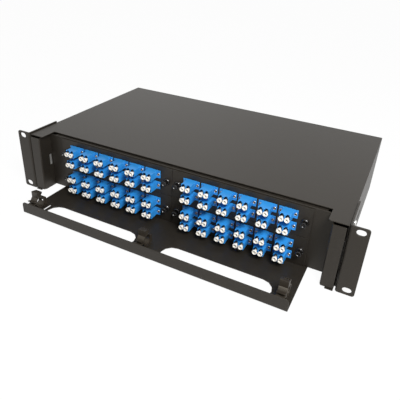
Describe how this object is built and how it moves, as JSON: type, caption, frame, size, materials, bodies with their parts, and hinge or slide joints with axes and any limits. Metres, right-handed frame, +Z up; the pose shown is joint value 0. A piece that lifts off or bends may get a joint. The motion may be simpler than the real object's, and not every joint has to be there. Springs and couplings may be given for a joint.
{
  "type": "fiber optic tray",
  "caption": "Rack-mount sliding fibre patch drawer with adapter plates, duplex couplers under dust caps, a front cable shelf with clips, and cable glands at the rear.",
  "frame": {"origin": "centre of the chassis floor's flat underside, which is the plane that the drawer unit rests on", "axes": "+X to the right seen from the front, +Y to the rear of the rack, +Z up"},
  "size_m": [0.4826, 0.3497, 0.088],
  "materials": {
    "black_powder": "fine-textured black powder coat",
    "zinc": "bright zinc plate",
    "black_plastic": "glossy black nylon",
    "adapter_blue": "satin blue moulding",
    "dust_cap": "soft warm white moulding",
    "tray_plastic": "light grey moulding"
  },
  "bodies": {
    "root": {"chassis_base": "black_powder", "rear_panel": "black_powder", "top_cover": "black_powder", "rack_ear_left": "black_powder", "rack_ear_right": "black_powder", "ear_screw_left_lower": "zinc", "ear_screw_left_upper": "zinc", "ear_screw_right_lower": "zinc", "ear_screw_right_upper": "zinc", "gland_body_left": "black_plastic", "gland_body_right": "black_plastic", "gland_locknut_left": "black_plastic", "gland_locknut_right": "black_plastic", "blanking_plug_left": "black_plastic", "blanking_plug_right": "black_plastic", "slide_outer_left": "zinc", "slide_outer_right": "zinc"},
    "slide_left": {"slide_middle_left": "zinc"},
    "slide_right": {"slide_middle_right": "zinc"},
    "drawer": {"shelf_tray": "black_powder", "drawer_side_left": "black_powder", "drawer_side_right": "black_powder", "drawer_back": "black_powder", "adapter_frame": "black_powder", "slide_inner_left": "zinc", "slide_inner_right": "zinc", "clip_base_left": "black_plastic", "clip_base_centre": "black_plastic", "clip_base_right": "black_plastic", "splice_tray": "tray_plastic", "splice_tray_lid": "tray_plastic", "splice_stud": "zinc", "splice_knob": "black_plastic", "fibre_guide_left": "black_plastic", "fibre_guide_right": "black_plastic"},
    "gate_left": {"clip_gate_left": "black_plastic"},
    "gate_centre": {"clip_gate_centre": "black_plastic"},
    "gate_right": {"clip_gate_right": "black_plastic"},
    "plate_upper_left": {"adapter_plate_upper_left": "black_powder", "adapters_upper_left_upper_row": "adapter_blue", "adapters_upper_left_lower_row": "adapter_blue"},
    "plate_upper_right": {"adapter_plate_upper_right": "black_powder", "adapters_upper_right_upper_row": "adapter_blue", "adapters_upper_right_lower_row": "adapter_blue"},
    "plate_lower_left": {"adapter_plate_lower_left": "black_powder", "adapters_lower_left_upper_row": "adapter_blue", "adapters_lower_left_lower_row": "adapter_blue"},
    "plate_lower_right": {"adapter_plate_lower_right": "black_powder", "adapters_lower_right_upper_row": "adapter_blue", "adapters_lower_right_lower_row": "adapter_blue"},
    "latch_upper_left_inner": {"plunger_upper_left_inner": "black_plastic"},
    "latch_upper_left_outer": {"plunger_upper_left_outer": "black_plastic"},
    "latch_upper_right_inner": {"plunger_upper_right_inner": "black_plastic"},
    "latch_upper_right_outer": {"plunger_upper_right_outer": "black_plastic"},
    "latch_lower_left_inner": {"plunger_lower_left_inner": "black_plastic"},
    "latch_lower_left_outer": {"plunger_lower_left_outer": "black_plastic"},
    "latch_lower_right_inner": {"plunger_lower_right_inner": "black_plastic"},
    "latch_lower_right_outer": {"plunger_lower_right_outer": "black_plastic"}
  },
  "joints": [
    {"name": "drawer_slide", "type": "slide", "parent": "root", "child": "drawer", "axis": [0, -1, 0], "range_m": [0, 0.2]},
    {"name": "slide_left_travel", "type": "slide", "parent": "root", "child": "slide_left", "axis": [0, -1, 0], "range_m": [0, 0.1]},
    {"name": "slide_right_travel", "type": "slide", "parent": "root", "child": "slide_right", "axis": [0, -1, 0], "range_m": [0, 0.1]},
    {"name": "gate_left_swing", "type": "hinge", "parent": "drawer", "child": "gate_left", "pos_m": [-0.176, -0.17953, 0.01365], "axis": [-1, 0, 0], "range_deg": [0, 50]},
    {"name": "gate_centre_swing", "type": "hinge", "parent": "drawer", "child": "gate_centre", "pos_m": [-0.004, -0.17953, 0.01365], "axis": [-1, 0, 0], "range_deg": [0, 50]},
    {"name": "gate_right_swing", "type": "hinge", "parent": "drawer", "child": "gate_right", "pos_m": [0.1732, -0.17953, 0.01365], "axis": [-1, 0, 0], "range_deg": [0, 50]},
    {"name": "plate_upper_left_pull", "type": "slide", "parent": "drawer", "child": "plate_upper_left", "axis": [0, -1, 0], "range_m": [0, 0.025]},
    {"name": "plate_upper_right_pull", "type": "slide", "parent": "drawer", "child": "plate_upper_right", "axis": [0, -1, 0], "range_m": [0, 0.025]},
    {"name": "plate_lower_left_pull", "type": "slide", "parent": "drawer", "child": "plate_lower_left", "axis": [0, -1, 0], "range_m": [0, 0.025]},
    {"name": "plate_lower_right_pull", "type": "slide", "parent": "drawer", "child": "plate_lower_right", "axis": [0, -1, 0], "range_m": [0, 0.025]},
    {"name": "latch_upper_left_inner_pull", "type": "slide", "parent": "plate_upper_left", "child": "latch_upper_left_inner", "axis": [0, -1, 0], "range_m": [0, 0.004]},
    {"name": "latch_upper_left_outer_pull", "type": "slide", "parent": "plate_upper_left", "child": "latch_upper_left_outer", "axis": [0, -1, 0], "range_m": [0, 0.004]},
    {"name": "latch_upper_right_inner_pull", "type": "slide", "parent": "plate_upper_right", "child": "latch_upper_right_inner", "axis": [0, -1, 0], "range_m": [0, 0.004]},
    {"name": "latch_upper_right_outer_pull", "type": "slide", "parent": "plate_upper_right", "child": "latch_upper_right_outer", "axis": [0, -1, 0], "range_m": [0, 0.004]},
    {"name": "latch_lower_left_inner_pull", "type": "slide", "parent": "plate_lower_left", "child": "latch_lower_left_inner", "axis": [0, -1, 0], "range_m": [0, 0.004]},
    {"name": "latch_lower_left_outer_pull", "type": "slide", "parent": "plate_lower_left", "child": "latch_lower_left_outer", "axis": [0, -1, 0], "range_m": [0, 0.004]},
    {"name": "latch_lower_right_inner_pull", "type": "slide", "parent": "plate_lower_right", "child": "latch_lower_right_inner", "axis": [0, -1, 0], "range_m": [0, 0.004]},
    {"name": "latch_lower_right_outer_pull", "type": "slide", "parent": "plate_lower_right", "child": "latch_lower_right_outer", "axis": [0, -1, 0], "range_m": [0, 0.004]}
  ],
  "couplings": [
    {"joint": "slide_left_travel", "follows": "drawer_slide", "ratio": 0.5},
    {"joint": "slide_right_travel", "follows": "drawer_slide", "ratio": 0.5}
  ]
}
